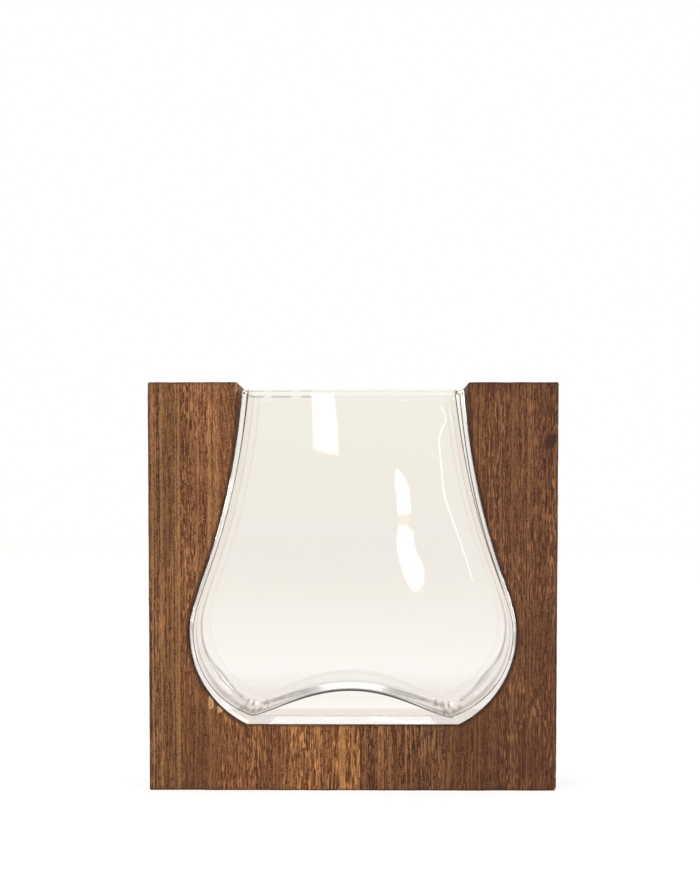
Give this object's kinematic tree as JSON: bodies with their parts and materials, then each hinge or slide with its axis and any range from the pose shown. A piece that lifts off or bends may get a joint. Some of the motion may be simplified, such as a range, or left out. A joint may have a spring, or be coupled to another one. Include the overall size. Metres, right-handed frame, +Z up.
{
  "type": "framed glass vase",
  "caption": "Flat-sided clear glass vase with a humped inner floor, standing in a cut-out of its own outline sawn through an upright square block of glued wooden staves.",
  "frame": {"origin": "centre of the block's underside", "axes": "+Z up; -Y out of the front face, the one pictured; +X to the right seen from the front"},
  "size_m": [0.203, 0.0508, 0.203],
  "materials": {
    "left_edge_wood": "satin, stained",
    "left_flank_wood": "satin, stained",
    "left_third_wood": "satin, stained",
    "sill_left_wood": "satin, stained",
    "sill_centre_wood": "satin, stained",
    "sill_right_wood": "satin, stained",
    "right_seventh_wood": "satin, stained",
    "right_edge_wood": "satin, stained",
    "clear_glass": "polished, clear, faint warm tint"
  },
  "bodies": {
    "block": {"left_edge_stave": "left_edge_wood", "left_flank_stave": "left_flank_wood", "left_neck_stave": "left_third_wood", "left_foot_stave": "left_third_wood", "sill_left_stave": "sill_left_wood", "sill_centre_stave": "sill_centre_wood", "sill_right_stave": "sill_right_wood", "right_foot_stave": "right_seventh_wood", "right_neck_stave": "right_seventh_wood", "right_edge_stave": "right_edge_wood"},
    "vase": {"glass_vase": "clear_glass"}
  },
  "joints": [
    {"name": "vase_slide", "type": "slide", "parent": "block", "child": "vase", "axis": [0, -1, 0], "range_m": [-0.06, 0.06]}
  ]
}
